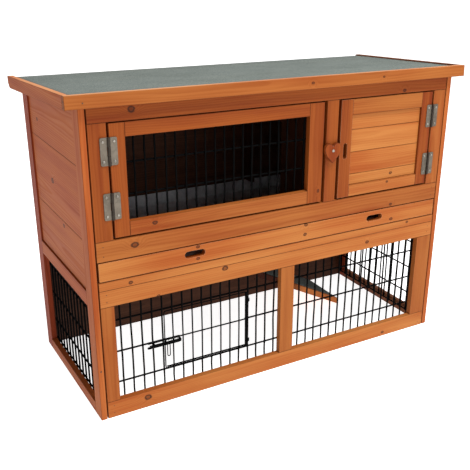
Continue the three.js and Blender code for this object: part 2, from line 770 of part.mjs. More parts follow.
// In the roof's own frame, the hinge pin is the X axis and the board's underside is level.
const roofLift = GAP + ROOF_EXTRA_LIFT; // keeps the board's underside clear of the body
const underside =
  (ROOF_HINGE_DROP + roofLift) * Math.cos(roofSlope) - hingeOffset * Math.sin(roofSlope);
const boardRear = -hingeOffset;
const fasciaBack = boardRear - BODY_DEPTH / Math.cos(roofSlope) - ROOF_FRONT_CLEARANCE;
const fasciaFront = fasciaBack - FASCIA_T;
const fasciaInnerX = ROOF_HALF_LENGTH - FASCIA_T;
const fasciaBottom = underside - FASCIA_DROP;
const fasciaTop = underside + FASCIA_RISE;
const boardX = fasciaInnerX - GAP;
const feltZ = underside + ROOF_BOARD_T + GAP;

addMesh(
  "roof_board",
  boxGeometry(-boardX, boardX, fasciaBack + GAP, boardRear, underside, underside + ROOF_BOARD_T),
  stainedPine,
  roof,
);
addMesh(
  "roof_felt",
  boxGeometry(-boardX, boardX, fasciaBack + GAP, boardRear, feltZ, feltZ + FELT_T),
  feltGreen,
  roof,
);
addMesh(
  "roof_fascia_front",
  boxGeometry(-ROOF_HALF_LENGTH, ROOF_HALF_LENGTH, fasciaFront, fasciaBack, fasciaBottom, fasciaTop),
  pine,
  roof,
);
const fasciaRear = boardRear + ROOF_REAR_OVERHANG;
const sideFascia = polygon([
  [fasciaBack + GAP, fasciaBottom],
  [fasciaRear - FASCIA_CHAMFER, fasciaBottom],
  [fasciaRear, fasciaBottom + FASCIA_CHAMFER],
  [fasciaRear, fasciaTop],
  [fasciaBack + GAP, fasciaTop],
]);
addMesh(
  "roof_fascia_left",
  extrudeAlongX(sideFascia, -ROOF_HALF_LENGTH, -fasciaInnerX),
  stainedPine,
  roof,
);
addMesh(
  "roof_fascia_right",
  extrudeAlongX(sideFascia, fasciaInnerX, ROOF_HALF_LENGTH),
  stainedPine,
  roof,
);

// A leaf of the long hinge along the rear edge. hingeLeaf draws it upright, so it is laid along
// X here, with its plate above the pin when rise is 1 and below it when rise is -1.
function roofLeaf(rise, width, segments, bore) {
  const leaf = hingeLeaf(1, width, ROOF_HINGE_LENGTH, segments, bore);
  const lay = new THREE.Matrix4().makeBasis(
    AXIS.z.clone().multiplyScalar(rise),
    AXIS.minusY,
    AXIS.x.clone().multiplyScalar(rise),
  );
  return leaf.applyMatrix4(lay).translate((-rise * ROOF_HINGE_LENGTH) / 2, 0, 0);
}

const fifth = ROOF_HINGE_LENGTH / 5;
const fixedSegments = [0, 2, 4].map((i) => [
  i * fifth + PIN_CLEARANCE,
  (i + 1) * fifth - PIN_CLEARANCE,
]);
const movingSegments = [1, 3].map((i) => [i * fifth, (i + 1) * fifth]);
const fixedRoofLeaf = roofLeaf(-1, LEAF.width, fixedSegments, 0);
addMesh("roof_hinge_fixed_leaf", fixedRoofLeaf, galvanised).position.set(0, roofHinge.y, roofHinge.z);
const movingRoofLeaf = roofLeaf(1, ROOF_BOARD_T + 1, movingSegments, PIN_R + PIN_CLEARANCE);
addMesh("roof_hinge_moving_leaf", movingRoofLeaf, galvanised, roof);

export default hutch;
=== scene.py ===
"""The looks of the rabbit hutch, in metres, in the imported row's frame: X runs along the hutch, its front
faces -Y, and Z is up."""

import json
import math
import random

import bmesh
import bpy
from mathutils import Matrix, Vector
from mathutils.bvhtree import BVHTree

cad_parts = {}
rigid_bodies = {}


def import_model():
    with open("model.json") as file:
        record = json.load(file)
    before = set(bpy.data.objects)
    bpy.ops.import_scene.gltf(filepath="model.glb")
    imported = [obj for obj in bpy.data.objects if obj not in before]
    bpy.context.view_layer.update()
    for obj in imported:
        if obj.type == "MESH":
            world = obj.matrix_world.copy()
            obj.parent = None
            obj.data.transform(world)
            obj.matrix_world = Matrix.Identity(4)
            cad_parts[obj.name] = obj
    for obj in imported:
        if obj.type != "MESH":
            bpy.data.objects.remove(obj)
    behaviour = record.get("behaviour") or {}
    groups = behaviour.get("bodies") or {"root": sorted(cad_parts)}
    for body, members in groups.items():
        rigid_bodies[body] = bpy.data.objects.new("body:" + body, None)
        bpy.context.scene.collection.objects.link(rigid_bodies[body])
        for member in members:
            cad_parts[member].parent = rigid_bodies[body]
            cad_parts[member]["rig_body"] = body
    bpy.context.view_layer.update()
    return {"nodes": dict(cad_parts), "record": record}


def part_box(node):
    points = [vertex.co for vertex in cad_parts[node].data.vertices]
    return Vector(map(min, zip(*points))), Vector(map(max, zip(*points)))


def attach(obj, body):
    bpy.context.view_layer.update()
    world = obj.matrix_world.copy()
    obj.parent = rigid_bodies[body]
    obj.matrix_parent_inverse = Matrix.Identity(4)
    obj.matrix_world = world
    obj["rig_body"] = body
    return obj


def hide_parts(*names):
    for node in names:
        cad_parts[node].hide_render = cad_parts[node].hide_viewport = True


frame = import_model()
NODES = frame["nodes"]
MM = 0.001
X, Y, Z = 0, 1, 2


def body_of(node):
    return NODES[node]["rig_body"]


def linear(share):
    """One sRGB channel, from 0 to 1, made linear."""
    return share / 12.92 if share <= 0.04 else ((share + 0.055) / 1.055) ** 2.4


def srgb(r, g, b):
    """A colour given in 0-255 sRGB, as the linear RGBA that a shader takes."""
    return (linear(r / 255), linear(g / 255), linear(b / 255), 1.0)


# ---- shader graphs ----


class Graph:
    """A material and the nodes that feed its Principled shader."""

    def __init__(self, name):
        self.material = bpy.data.materials.new(name)
        self.material.use_nodes = True
        self.tree = self.material.node_tree
        self.shader = self.tree.nodes["Principled BSDF"]

    def set(self, socket, value):
        if isinstance(value, bpy.types.NodeSocket):
            self.tree.links.new(value, socket)
        elif value is not None:
            socket.default_value = value

    def surface(self, **inputs):
        for name, value in inputs.items():
            self.set(self.shader.inputs[name.replace("_", " ")], value)
        return self.material

    def node(self, kind, inputs, output, **settings):
        made = self.tree.nodes.new("ShaderNode" + kind)
        for name, value in settings.items():
            setattr(made, name, value)
        for name, value in inputs.items():
            self.set(made.inputs[name], value)
        return made.outputs[output]

    def attribute(self, name, output):
        return self.node("Attribute", {}, output, attribute_name=name)

    def place(self):
        return self.node("TexCoord", {}, "Object")

    def maths(self, operation, a, b=None):
        return self.node("Math", {0: a, 1: b}, 0, operation=operation)

    def vector(self, operation, a, b=None, output=0):
        return self.node("VectorMath", {0: a, 1: b}, output, operation=operation)

    def ramp(self, value, low, high, to_low=0.0, to_high=1.0):
        """Eases from to_low to to_high as value goes from low to high."""
        inputs = {0: value, 1: low, 2: high, 3: to_low, 4: to_high}
        return self.node("MapRange", inputs, 0, interpolation_type="SMOOTHSTEP")

    def noise(self, vector, stretch, detail=2.0, roughness=0.5):
        inputs = {"Vector": self.vector("MULTIPLY", vector, stretch), "Scale": 1.0}
        return self.node("TexNoise", {**inputs, "Detail": detail, "Roughness": roughness}, 0)

    def mix(self, share, a, b, blend="MIX"):
        return self.node("Mix", {0: share, 6: a, 7: b}, 2, data_type="RGBA", blend_type=blend)

    def bump(self, height, distance, strength):
        inputs = {"Height": height, "Distance": distance, "Strength": strength}
        return self.node("Bump", inputs, 0)

    def total(self, *terms):
        """The sum of (weight, value) terms."""
        whole = None
        for weight, value in terms:
            term = self.maths("MULTIPLY", value, weight)
            whole = term if whole is None else self.maths("ADD", whole, term)
        return whole


# What stained pine is multiplied by, or mixed with, in its redder streaks, on free eased edges (a painted
# highlight), in joints and grooves and on the ground (painted shade), in knots, in the dark ring round a
# knot, and under the hutch's upper floor (painted shade).
REDDER = (0.93, 0.66, 0.50, 1.0)
EDGE_HIGHLIGHT = (1.0, 0.82, 0.62, 1.0)
JOINT_SHADE = (0.05, 0.012, 0.004, 1.0)
KNOT_TINT = (0.36, 0.22, 0.14, 1.0)
KNOT_RING = (0.035, 0.01, 0.004, 1.0)
UNDERFLOOR_SHADE = (0.09, 0.055, 0.045, 1.0)
RINGS_PER_METRE = 235.0
PINE_ROUGHNESS = 0.5


def pine(name, light, dark, knots=(), wild=True, shade_span=None):
    """Stained pine. The mesh's grain attribute holds metres along, across and into the board, moved
    to a place of its own in the tree; tone is the board's own shade; end marks its end grain, and
    edge its eased edges, above zero where they are free, which take a painted highlight, and below zero
    in a joint, which take painted shade. knots are (along, across, radius) in the same metres, and wild
    adds a few small ones anywhere. The last argument gives the places along the row's X, in metres,
    over which the painted shade under the hutch's upper floor fades: dark up to the first, gone from the
    second."""
    g = Graph(name)
    grain = g.attribute("grain", "Vector")
    tone = g.attribute("tone", "Fac")
    edge = g.attribute("edge", "Fac")
    wander = g.noise(grain, (2.0, 14.0, 14.0), detail=2.0)
    ragged = g.noise(grain, (70.0, 260.0, 260.0), detail=2.0)

    # The distance to the nearest knot, in knot radii.
    nearest = None
    for along, across, radius in knots:
        offset = g.vector("SUBTRACT", grain, (along, across, 0.0))
        flat = g.vector("MULTIPLY", offset, (0.75 / radius, 1.0 / radius, 0.0))
        distance = g.vector("LENGTH", flat, output="Value")
        nearest = distance if nearest is None else g.maths("MINIMUM", nearest, distance)
    if wild:
        cell = {"Vector": grain, "Scale": 5.0, "Randomness": 1.0}
        distance = g.node("TexVoronoi", cell, "Distance", voronoi_dimensions="2D")
        size = g.node("TexVoronoi", cell, "Color", voronoi_dimensions="2D")
        size = g.node("SeparateColor", {0: size}, 0)
        nearest = g.maths("DIVIDE", distance, g.ramp(size, 0.3, 1.0, 0.002, 0.024))

    from_pith = g.vector("LENGTH", g.vector("MULTIPLY", grain, (0.0, 1.0, 1.0)), output="Value")
    rings = g.total((RINGS_PER_METRE, from_pith))
    rings = g.maths("ADD", rings, g.maths("MULTIPLY", wander, 5.5))
    if nearest is not None:
        nearest = g.maths("ADD", nearest, g.maths("MULTIPLY", g.maths("SUBTRACT", ragged, 0.5), 0.7))
        rings = g.maths("ADD", rings, g.ramp(nearest, 0.4, 4.0, 2.4, 0.0))
    ring = g.maths("FRACT", rings)
    late_wood = g.maths("MULTIPLY", g.ramp(ring, 0.25, 0.88), g.ramp(ring, 0.9, 1.0, 1.0, 0.0))
    streak = g.noise(grain, (1.9, 46.0, 46.0), detail=3.0, roughness=0.55)
    cloud = g.noise(grain, (4.0, 8.0, 8.0), detail=1.0)
    fibre = g.noise(grain, (22.0, 1300.0, 1300.0), detail=2.0)
    share = g.total((0.15, late_wood), (0.95, streak), (0.45, cloud), (0.16, fibre))
    colour = g.mix(g.ramp(share, 0.5, 1.25), light, dark)
    redness = g.ramp(g.total((0.16, tone), (1.6, cloud), (1.2, streak)), 1.0, 2.2)
    colour = g.mix(redness, colour, g.mix(1.0, colour, REDDER, "MULTIPLY"))
    end_grain = g.maths("MULTIPLY", g.attribute("end", "Fac"), 0.4)
    colour = g.mix(end_grain, colour, g.mix(0.8, colour, dark, "MULTIPLY"))
    # Free eased edges turn paler: a painted highlight where light catches them.
    edge_highlight = g.mix(0.5, light, EDGE_HIGHLIGHT)
    colour = g.mix(g.ramp(edge, 0.0, 1.0, 0.0, 0.34), colour, edge_highlight)
    # Eased edges in a joint, a groove or on the ground darken: painted shade.
    colour = g.mix(g.ramp(edge, -1.0, 0.0, 0.5, 0.0), colour, JOINT_SHADE)
    height = g.total((0.5, late_wood), (0.35, fibre))
    if nearest is not None:
        rim = g.maths("MULTIPLY", g.ramp(nearest, 0.3, 0.7), g.ramp(nearest, 0.85, 1.3, 1.0, 0.0))
        heart = g.ramp(nearest, 0.3, 0.7, 1.0, 0.0)
        knotty = g.mix(1.0, colour, KNOT_TINT, "MULTIPLY")
        colour = g.mix(g.maths("MULTIPLY", heart, 0.75), colour, knotty)
        colour = g.mix(g.maths("MULTIPLY", rim, 0.92), colour, KNOT_RING)
        height = g.maths("ADD", height, g.maths("MULTIPLY", rim, -0.5))
    # Darker towards the ramp's head: painted shade under the hutch's upper floor.
    if shade_span:
        x = g.node("SeparateXYZ", {0: g.place()}, 0)
        underfloor_shaded = g.mix(1.0, colour, UNDERFLOOR_SHADE, "MULTIPLY")
        colour = g.mix(g.ramp(x, *shade_span), underfloor_shaded, colour)
    rough = g.total((0.12, fibre), (0.10, late_wood), (PINE_ROUGHNESS, 1.0))
    bump = g.bump(height, 0.0004, 0.4)
    return g.surface(Base_Color=colour, Roughness=rough, Normal=bump, Specular_IOR_Level=0.1)


FELT_WARMTH = (0.97, 0.93, 0.86, 1.0)


def mineral_felt(name, light, dark):
    """Roofing felt with mineral granules."""
    g = Graph(name)
    place = g.place()
    grit = g.noise(place, (900.0, 900.0, 900.0), detail=2.0, roughness=0.7)
    speckle = g.node("TexVoronoi", {"Vector": place, "Scale": 520.0}, "Color")
    speckle = g.node("SeparateColor", {0: speckle}, 0)
    blotch = g.noise(place, (7.0, 11.0, 11.0), detail=4.0, roughness=0.6)
    share = g.total((0.5, grit), (0.45, speckle), (0.5, blotch))
    colour = g.mix(g.ramp(share, 0.35, 1.1), dark, light)
    warm = g.ramp(g.noise(place, (3.0, 7.0, 7.0), detail=3.0), 0.4, 0.75)
    colour = g.mix(g.maths("MULTIPLY", warm, 0.3), colour, g.mix(1.0, colour, FELT_WARMTH, "MULTIPLY"))
    height = g.total((0.6, grit), (0.6, speckle))
    bump = g.bump(height, 0.0008, 0.6)
    return g.surface(Base_Color=colour, Roughness=0.95, Normal=bump, Specular_IOR_Level=0.15)


def zinc(name, light, dark, roughness):
    """Galvanised or zinc-plated steel: a fine spangle, and dull patches."""
    g = Graph(name)
    place = g.place()
    flake = g.node("TexVoronoi", {"Vector": place, "Scale": 160.0}, "Color")
    flake = g.node("SeparateColor", {0: flake}, 0)
    patch = g.noise(place, (30.0, 30.0, 30.0), detail=4.0, roughness=0.6)
    share = g.total((0.2, flake), (0.8, patch))
    colour = g.mix(g.ramp(share, 0.25, 0.8), dark, light)
    rough = g.total((0.22, patch), (0.08, flake), (roughness - 0.12, 1.0))
    return g.surface(Base_Color=colour, Metallic=0.75, Roughness=rough, Normal=g.bump(share, 0.0002, 0.35))


def coated_wire(name, colour, chip):
    """Black coated wire, a little worn."""
    g = Graph(name)
    place = g.place()
    worn = g.noise(place, (260.0, 260.0, 120.0), detail=3.0, roughness=0.65)
    shade = g.mix(g.ramp(worn, 0.62, 0.75), colour, chip)
    rough = g.ramp(worn, 0.3, 0.8, 0.7, 0.85)
    bump = g.bump(worn, 0.0002, 0.4)
    return g.surface(Base_Color=shade, Roughness=rough, Normal=bump, Specular_IOR_Level=0.03)


def ground(name):
    """A white floor bright enough to stand in for a white backdrop."""
    g = Graph(name)
    place = g.place()
    fine = g.noise(place, (40.0, 40.0, 40.0), detail=3.0)
    shade = g.mix(fine, (0.80, 0.80, 0.80, 1.0), (0.84, 0.84, 0.84, 1.0))
    return g.surface(Base_Color=shade, Roughness=0.9, Emission_Color=shade, Emission_Strength=1.1)


# Stains, each as a light and a dark colour. Some are darker and paler copies of the pine's colour that
# paint light and shade, as the comments above them say.
FRONT = (srgb(167, 105, 52), srgb(143, 81, 35))
WARM = (srgb(150, 87, 38), srgb(124, 63, 22))
# A darker, redder copy of the front colour for the upper front boards: painted shade, the roof's shadow
# over them.
ROOF_SHADED_FRONT = (srgb(134, 67, 21), srgb(107, 46, 12))
STILE = (srgb(162, 89, 40), srgb(134, 66, 26))
RAMP = (srgb(200, 118, 60), srgb(164, 88, 40))
# A paler copy for the tops of the front and left fascias: a painted highlight where light falls from above.
TOP_HIGHLIGHT = (srgb(204, 142, 96), srgb(178, 112, 70))
# A dull, darker copy for the tops and inward faces of the right fascia and the right side's rails: painted
# shade.
INWARD_SHADE = (srgb(134, 82, 52), srgb(100, 58, 36))
SIDE = (srgb(158, 84, 36), srgb(135, 64, 25))
RED = (srgb(142, 58, 30), srgb(104, 40, 18))
# Near black for the hutch's inner faces: painted shade for its unlit inside.
INNER_SHADE = (srgb(76, 45, 29), srgb(48, 28, 18))
PALETTES = {"front_pine": FRONT, "side_pine": SIDE, "inner_pine": INNER_SHADE}

# Boards stained unlike the rest of their kind; the darkest of these colours, on the upper front boards, is
# painted shade, the roof's shadow.
STAINS_AND_SHADE = {
    "front_top_rail": ROOF_SHADED_FRONT,
    "upper_mullion": ROOF_SHADED_FRONT,
    "heart_turn_button": ROOF_SHADED_FRONT,
    "mesh_door_lock_stile": ROOF_SHADED_FRONT,
    "mesh_door_top_rail": ROOF_SHADED_FRONT,
    "mesh_door_hinge_stile": ROOF_SHADED_FRONT,
    "solid_door_lock_stile": ROOF_SHADED_FRONT,
    "solid_door_hinge_stile": ROOF_SHADED_FRONT,
    "solid_door_top_rail": WARM,
    "hinge_stile_left": ROOF_SHADED_FRONT,
    "hinge_stile_right": WARM,
    "mesh_door_bottom_rail": WARM,
    "front_mid_rail": WARM,
    "roof_fascia_front": WARM,
    "run_stile_left": WARM,
    "run_stile_right": WARM,
    "run_mullion": WARM,
    "side_left_front_stile": STILE,
    "side_right_front_stile": STILE,
    "ramp": RAMP,
}

pines = {slot: pine(slot, *palette) for slot, palette in PALETTES.items()}
red_pine = pine("red_pine", *RED)
grey_pine = pine("grey_pine", *INWARD_SHADE, wild=False)
highlit_pine = pine("highlit_pine", *TOP_HIGHLIGHT, wild=False)
felt = mineral_felt("roof_felt_grit", srgb(119, 125, 120), srgb(83, 90, 86))
mat_felt = mineral_felt("ramp_felt_grit", srgb(122, 130, 127), srgb(80, 88, 87))
hinge_steel = zinc("hinge_zinc", srgb(118, 109, 97), srgb(88, 80, 70), roughness=0.55)
pin_steel = zinc("hinge_pin_dull", srgb(66, 58, 50), srgb(48, 41, 35), roughness=0.65)
screw_steel = zinc("screw_zinc", srgb(158, 152, 142), srgb(118, 112, 104), roughness=0.35)
tray_steel = zinc("tray_zinc", srgb(190, 192, 194), srgb(156, 158, 162), roughness=0.5)
black_wire = coated_wire("black_wire_coat", srgb(5, 5, 5), srgb(15, 15, 16))
nail_steel = zinc("nail_dull", srgb(84, 74, 66), srgb(40, 32, 27), roughness=0.6)


# ---- boards ----


# How near another piece, along each axis, or the ground has to be for an eased edge to take painted shade.
JOINT_REACH = (2.0 * MM, 3.2 * MM, 3.2 * MM)
GROUND_REACH = 1.5 * MM
SHARP_ANGLE = 0.8  # radians between the faces of an edge that is eased
WELD_DISTANCE = 1e-5
FLAT_ANGLE = 0.03  # radians below which neighbouring faces count as one flat face
BOARD_EDGE = 0.9 * MM
HEART_EDGE = 1.6 * MM
PLANK_EDGE = 1.6 * MM
PLANK_GAP = 0.15 * MM
GROOVE_REACH = 2.4 * MM  # how far from a seam its V groove reaches
# The edge value for the faces by a seam: painted shade in the groove.
GROOVE_SHADE = -0.4


def solid_tree():
    """The whole CAD model as one tree for ray casts."""
    verts, faces = [], []
    for node in NODES.values():
        start = len(verts)
        verts += [v.co.copy() for v in node.data.vertices]
        faces += [[start + i for i in polygon.vertices] for polygon in node.data.polygons]
    return BVHTree.FromPolygons(verts, faces)


SOLIDS = solid_tree()


def tree_offset(name):
    """Where in the tree a board was cut: fixed for each name."""
    rng = random.Random(name)
    pith = rng.uniform(0.015, 0.05)
    return Vector((rng.uniform(2, 20), rng.uniform(-0.05, 0.05), pith)), rng.uniform(-1, 1)


def label_grain(bm, verts, axes, name):
    """Writes the grain and tone of the board made of verts. axes are its along, across and depth axes."""
    offset, shade = tree_offset(name)
    centre = sum((v.co for v in verts), Vector()) / len(verts)
    grain = bm.verts.layers.float_vector["grain"]
    tone = bm.verts.layers.float["tone"]
    for v in verts:
        depth = v.co[axes[2]] - centre[axes[2]]
        v[grain] = Vector((v.co[axes[0]], v.co[axes[1]] - centre[axes[1]], depth)) + offset
        v[tone] = shade


def knot_places(node, knots):
    """Knots given as (along, across, radius) in millimetres in the row's frame, in grain coordinates."""
    offset, _ = tree_offset(node)
    axes = AXES[node]
    centre = mesh_centre(node)
    return [(a * MM + offset.x, b * MM - centre[axes[1]] + offset.y, radius * MM) for a, b, radius in knots]


def mesh_centre(node):
    low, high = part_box(node)
    return (low + high) / 2


def new_board_mesh():
    bm = bmesh.new()
    bm.verts.layers.float_vector.new("grain")
    bm.verts.layers.float.new("tone")
    bm.faces.layers.float.new("edge")
    bm.faces.layers.float.new("end")
    return bm


def round_edges(bm, edges, width):
    """Eases the sharp ones among edges, and marks the new faces as free or as lying in a joint."""
    sharp = [e for e in edges if len(e.link_faces) == 2 and e.calc_face_angle(0.0) > SHARP_ANGLE]
    made = bmesh.ops.bevel(
        bm, geom=sharp, offset=width, segments=2, profile=0.6, affect="EDGES", clamp_overlap=True
    )
    edge = bm.faces.layers.float["edge"]
    for f in made["faces"]:
        f[edge] = -1.0 if in_joint(f) else 1.0


def in_joint(face):
    """Whether an eased edge lies beside another piece or on the ground, where it takes painted shade: a
    painted contact shadow on the ground.
    """
    face.normal_update()
    # Where it stands on the ground: a painted contact shadow.
    if face.normal.z < 0 and face.calc_center_median().z < GROUND_REACH:
        return True
    start = face.calc_center_median() + face.normal * 0.1 * MM
    for axis in (X, Y, Z):
        if abs(face.normal[axis]) < 0.3:
            continue
        way = Vector((0.0, 0.0, 0.0))
        way[axis] = math.copysign(1.0, face.normal[axis])
        if SOLIDS.ray_cast(start, way, JOINT_REACH[axis])[0]:
            return True
    return False


def mark_ends(bm, faces, axis):
    """Marks the faces that look along the board's length as end grain."""
    end = bm.faces.layers.float["end"]
    for f in faces:
        if abs(f.normal[axis]) > 0.8:
            f[end] = 1.0


def set_second_material(faces, wanted):
    """Gives a piece's second material to the faces that wanted picks."""
    for f in faces:
        if wanted(f):
            f.material_index = 1


def finish_piece(bm, name, nodes, body, materials):
    """Turns bm into a piece that rides on body and replaces the CAD nodes, where there are any."""
    mesh = bpy.data.meshes.new(name)
    bmesh.ops.recalc_face_normals(bm, faces=bm.faces)
    bm.to_mesh(mesh)
    bm.free()
    for material in materials:
        mesh.materials.append(material)
    piece = bpy.data.objects.new(name, mesh)
    bpy.context.scene.collection.objects.link(piece)
    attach(piece, body)
    if nodes:
        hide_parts(*nodes)


def clean_copy(node):
    """The CAD node's shape with its flat faces whole."""
    bm = new_board_mesh()
    bm.from_mesh(NODES[node].data)
    bmesh.ops.remove_doubles(bm, verts=bm.verts, dist=WELD_DISTANCE)
    bmesh.ops.dissolve_limit(bm, angle_limit=FLAT_ANGLE, verts=bm.verts, edges=bm.edges)
    bm.normal_update()
    return bm


def looks_up_or_inwards(face):
    """Whether a face looks up, or towards the middle of the hutch along X."""
    x = face.calc_center_median().x
    return face.normal.z > 0.3 or face.normal.x * x < -0.3 * abs(x)


def dressed_board(node, material, edge, highlight_and_shade=None):
    """A board with the CAD node's shape, its edges eased. Its top and its side towards the middle of the
    hutch take the second material, where there is one: a painted highlight on some boards, painted shade on
    others."""
    bm = clean_copy(node)
    round_edges(bm, bm.edges, edge)
    axes = AXES[node]
    label_grain(bm, bm.verts, axes, node)
    bm.normal_update()
    mark_ends(bm, bm.faces, axes[0])
    materials = [material]
    if highlight_and_shade:
        materials.append(highlight_and_shade)
        set_second_material(bm.faces, looks_up_or_inwards)
    finish_piece(bm, node + "_board", [node], body_of(node), materials)


def add_plank(bm, low, high, axes, name):
    """One eased plank between two corners."""
    low, high = Vector(low), Vector(high)
    size = high - low
    matrix = Matrix.Translation((low + high) / 2) @ Matrix.Diagonal((*size, 1.0))
    made = bmesh.ops.create_cube(bm, size=1.0, matrix=matrix)
    edges = dict.fromkeys(e for v in made["verts"] for e in v.link_edges)
    others = set(bm.verts) - set(made["verts"])
    round_edges(bm, edges, PLANK_EDGE)
    verts = [v for v in bm.verts if v not in others]
    label_grain(bm, verts, axes, name)
    bm.normal_update()
    mark_ends(bm, dict.fromkeys(f for v in verts for f in v.link_faces), axes[0])


# Which row axis runs along, across and into each board.
AXES = {}
for node in NODES:
    low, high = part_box(node)
    AXES[node] = tuple(sorted((X, Y, Z), key=lambda axis: low[axis] - high[axis]))
AXES["upper_mullion"] = AXES["heart_turn_button"] = (Z, X, Y)
AXES["partition"] = (Z, Y, X)

SLOTS = {s["node"]: s["material_slot"] for s in frame["record"]["subparts"]}
WOODEN = [node for node, slot in SLOTS.items() if slot in PALETTES]
PLANKED = ("side_left_boards", "side_right_boards", "rear_wall", "solid_door_boards")

# Knots that show: their places along and across the board, in the row's frame, and their radii, all in
# millimetres.
KNOTS = {
    "front_top_rail": [(-387, 715, 6), (340, 700, 4)],
    "front_mid_rail": [(-395, 420, 6.5), (324, 400, 3.5)],
    "tray_front": [(-244, 385, 3.6), (-244, 356, 3.4), (54, 387, 3.8), (52, 362, 3.8), (330, 356, 4)],
    "front_lower_rail": [(-174, 318, 5.5), (253, 305, 4.2), (-345, 286, 3)],
    "floor_front_strip": [(-409, 333, 3.8), (388, 339, 3)],
    "front_bottom_rail": [(-382, 27, 6.5), (333, 12, 3.8)],
    "mesh_door_bottom_rail": [(-346, 463, 4.5)],
    "roof_fascia_front": [(49, 740, 3), (258, 741, 2.6)],
    "mesh_door_lock_stile": [(472, 86, 3.2)],
    "solid_door_bottom_rail": [(305, 465, 3)],
    "solid_door_boards": [(319, 486, 3.6)],
    "side_left_boards": [(34, 513, 6), (-28, 422, 4.5), (120, 640, 4)],
}
RAMP_SHADE_SPAN = (0.155, 0.225)  # along X, in metres: painted shade under the hutch's upper floor, dark up to the first place and gone from the second

# Where a board's top and its side towards the middle of the hutch take other colours: a painted highlight
# on the front and left fascias, painted shade on the right fascia and the right side's rails.
FACE_HIGHLIGHT_AND_SHADE = {
    "roof_fascia_left": highlit_pine,
    "roof_fascia_front": highlit_pine,
    "roof_fascia_right": grey_pine,
    "side_right_bottom_rail": grey_pine,
    "side_right_mid_rail": grey_pine,
}
RED_BOARDS = ("side_left_rear_stile", "side_right_rear_stile")

for node in WOODEN:
    if node in PLANKED:
        continue
    slot = SLOTS[node]
    material = red_pine if node in RED_BOARDS else pines[slot]
    if node in KNOTS or node in STAINS_AND_SHADE:
        knots = knot_places(node, KNOTS.get(node, []))
        shade_span = RAMP_SHADE_SPAN if node == "ramp" else None
        stain_and_shade = STAINS_AND_SHADE.get(node, PALETTES[slot])
        material = pine(node + "_pine", *stain_and_shade, knots=knots, wild=False, shade_span=shade_span)
    edge = HEART_EDGE if node == "heart_turn_button" else BOARD_EDGE
    dressed_board(node, material, edge, highlight_and_shade=FACE_HIGHLIGHT_AND_SHADE.get(node))


def planked(node, seams, axes, keep_below=None, rear=None):
    """The CAD node as planks stacked along Z, with a V groove at each seam, cut off along the plane
    keep_below. Faces that look to the rear take the rear material. Both may be left out."""
    bm = new_board_mesh()
    low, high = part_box(node)
    levels = [low.z, *[s * MM for s in seams], high.z]
    knots = []
    for i, (z0, z1) in enumerate(zip(levels, levels[1:])):
        offset, _ = tree_offset(f"{node}{i}")
        for a, b, radius in KNOTS.get(node, []):
            if z0 < b * MM < z1:
                knots.append((a * MM + offset.x, b * MM - (z0 + z1) / 2 + offset.y, radius * MM))
        plank_low = (low.x, low.y, z0 + (PLANK_GAP if i else 0))
        plank_high = (high.x, high.y, z1 - (PLANK_GAP if z1 < high.z else 0))
        add_plank(bm, plank_low, plank_high, axes, f"{node}{i}")
    if keep_below:
        geom = bm.verts[:] + bm.edges[:] + bm.faces[:]
        cut = bmesh.ops.bisect_plane(
            bm, geom=geom, dist=1e-6, plane_co=keep_below[0], plane_no=keep_below[1], clear_outer=True
        )
        rim = [e for e in cut["geom_cut"] if isinstance(e, bmesh.types.BMEdge)]
        bmesh.ops.holes_fill(bm, edges=rim, sides=0)
    # Eased edges along a seam take the painted shade of its groove.
    edge = bm.faces.layers.float["edge"]
    for f in bm.faces:
        middle = f.calc_center_median().z
        if f[edge] > 0 and any(abs(middle - s * MM) < GROOVE_REACH for s in seams):
            f[edge] = GROOVE_SHADE
    slot = SLOTS[node]
    stain_and_shade = pine(node + "_pine", *PALETTES[slot], knots=knots, wild=False) if knots else pines[slot]
    materials = [stain_and_shade]
    if rear:
        materials.append(rear)
        set_second_material(bm.faces, lambda f: f.normal.y > 0.3)
    finish_piece(bm, node + "_planks", [node], body_of(node), materials)


front_stile_low, front_stile_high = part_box("side_left_front_stile")
slope_start = Vector((0.0, front_stile_low.y, front_stile_high.z))
slope_end = Vector((0.0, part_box("side_left_rear_stile")[1].y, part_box("rear_wall")[1].z))
slope_normal = Vector((1.0, 0.0, 0.0)).cross(slope_end - slope_start).normalized()
roof_plane = (slope_start, slope_normal)

# Heights of the grooves between boards, in millimetres.
SIDE_SEAMS = (433, 597)
REAR_SEAMS = (118, 237, 356, 475, 594)
DOOR_SEAMS = (500, 557, 614)
planked("side_left_boards", SIDE_SEAMS, (Y, Z, X), roof_plane)
planked("side_right_boards", SIDE_SEAMS, (Y, Z, X), roof_plane)
# The rear wall's inside takes the inner faces' painted shade; its outside takes the side pine.
planked("rear_wall", REAR_SEAMS, (X, Z, Y), rear=pines["side_pine"])
planked("solid_door_boards", DOOR_SEAMS, (X, Z, Y))


# ---- wires ----


# A wire's rings at a point inside it and at its domed ends, as (share of the radius, push along it).
BODY_PROFILE = [(1.0, 0.0)]
START_PROFILE = [(0.45, -0.8), (0.85, -0.45), (1.0, 0.0)]
END_PROFILE = [(1.0, 0.0), (0.85, 0.45), (0.45, 0.8)]


def add_ring(bm, centre, side, up, radius, count):
    """A ring of vertices in the plane of side and up."""
    turn = [2 * math.pi * k / count for k in range(count)]
    return [bm.verts.new(centre + (side * math.cos(t) + up * math.sin(t)) * radius) for t in turn]


def join_rings(bm, pairs, material=0):
    """Smooth walls between pairs of rings."""
    for a, b in pairs:
        count = len(a)
        for k in range(count):
            f = bm.faces.new((a[k], a[(k + 1) % count], b[(k + 1) % count], b[k]))
            f.material_index = material
            f.smooth = True


